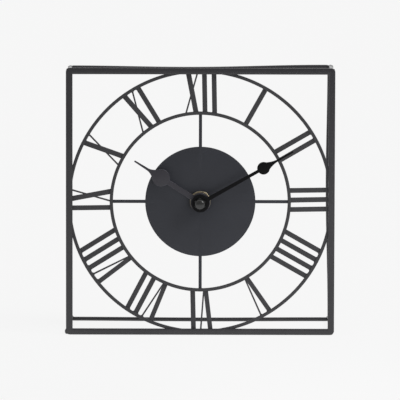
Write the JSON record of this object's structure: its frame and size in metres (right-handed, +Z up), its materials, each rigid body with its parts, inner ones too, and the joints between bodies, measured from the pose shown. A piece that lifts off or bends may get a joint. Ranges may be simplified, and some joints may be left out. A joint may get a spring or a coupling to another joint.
{
  "type": "mantel clock",
  "caption": "Square open-frame metal mantel clock: skeleton dial with Roman numerals, round-rod rear loop on corner struts, and a battery movement that turns two spade hands.",
  "frame": {"origin": "on the table, under the middle of the whole clock's box", "axes": "+X to the right of the dial as it is read, -Y out of the dial towards the reader, +Z up"},
  "size_m": [0.2, 0.0874, 0.2],
  "materials": {
    "frame_black": "satin black powder coat on steel",
    "dial_black": "matt black powder coat on laser cut steel sheet",
    "hour_hand_grey": "satin charcoal paint on aluminium sheet",
    "minute_hand_black": "satin black paint on aluminium sheet",
    "cap_black": "polished black",
    "brass": "turned brass",
    "rubber": "matt black rubber",
    "case_plastic": "fine textured black moulding",
    "wheel_plastic": "natural moulded acetal",
    "steel": "plain steel",
    "cell_sleeve": "plain printed film sleeve with bare steel ends",
    "board": "green circuit board",
    "copper": "enamelled copper wire"
  },
  "bodies": {
    "clock": {"front_frame": "frame_black", "rear_frame": "frame_black", "strut_top_left": "frame_black", "strut_top_right": "frame_black", "strut_bottom_left": "frame_black", "strut_bottom_right": "frame_black", "outer_ring": "dial_black", "inner_ring": "dial_black", "centre_disc": "dial_black", "rubber_washer": "rubber", "brass_washer": "brass", "hex_nut": "brass", "movement_case_front": "case_plastic", "movement_case_back": "case_plastic", "middle_plate": "case_plastic", "coil": "copper", "coil_core": "steel", "stator": "steel", "circuit_board": "board", "quartz_crystal": "steel", "cell": "cell_sleeve", "contact_positive": "steel", "contact_negative": "steel", "numeral_1": "dial_black", "numeral_2": "dial_black", "numeral_3": "dial_black", "numeral_4": "dial_black", "numeral_5": "dial_black", "numeral_6": "dial_black", "numeral_7": "dial_black", "numeral_8": "dial_black", "numeral_9": "dial_black", "numeral_10": "dial_black", "numeral_11": "dial_black", "numeral_12": "dial_black"},
    "minute": {"minute_hand": "minute_hand_black", "hand_cap": "cap_black", "centre_arbor": "steel"},
    "hour": {"hour_hand": "hour_hand_grey", "hour_wheel": "wheel_plastic"},
    "setting": {"minute_wheel": "wheel_plastic", "setting_knob": "wheel_plastic"},
    "third": {"third_wheel": "wheel_plastic"},
    "rotor": {"rotor": "steel"}
  },
  "joints": [
    {"name": "minute_turn", "type": "hinge", "parent": "clock", "child": "minute", "pos_m": [0, -0.0382, 0.1], "axis": [0, 1, 0], "continuous": true},
    {"name": "hour_turn", "type": "hinge", "parent": "clock", "child": "hour", "pos_m": [0, -0.0322, 0.1], "axis": [0, 1, 0], "continuous": true},
    {"name": "setting_turn", "type": "hinge", "parent": "clock", "child": "setting", "pos_m": [-0.00831, -0.008, 0.1048], "axis": [0, 1, 0], "continuous": true},
    {"name": "third_turn", "type": "hinge", "parent": "clock", "child": "third", "pos_m": [0.0045, -0.017, 0.10779], "axis": [0, 1, 0], "continuous": true},
    {"name": "rotor_turn", "type": "hinge", "parent": "clock", "child": "rotor", "pos_m": [0.0155, -0.0147, 0.11379], "axis": [0, 1, 0], "continuous": true}
  ],
  "couplings": [
    {"joint": "hour_turn", "follows": "minute_turn", "ratio": 0.083333},
    {"joint": "setting_turn", "follows": "minute_turn", "ratio": -0.33333},
    {"joint": "third_turn", "follows": "minute_turn", "ratio": -4}
  ]
}
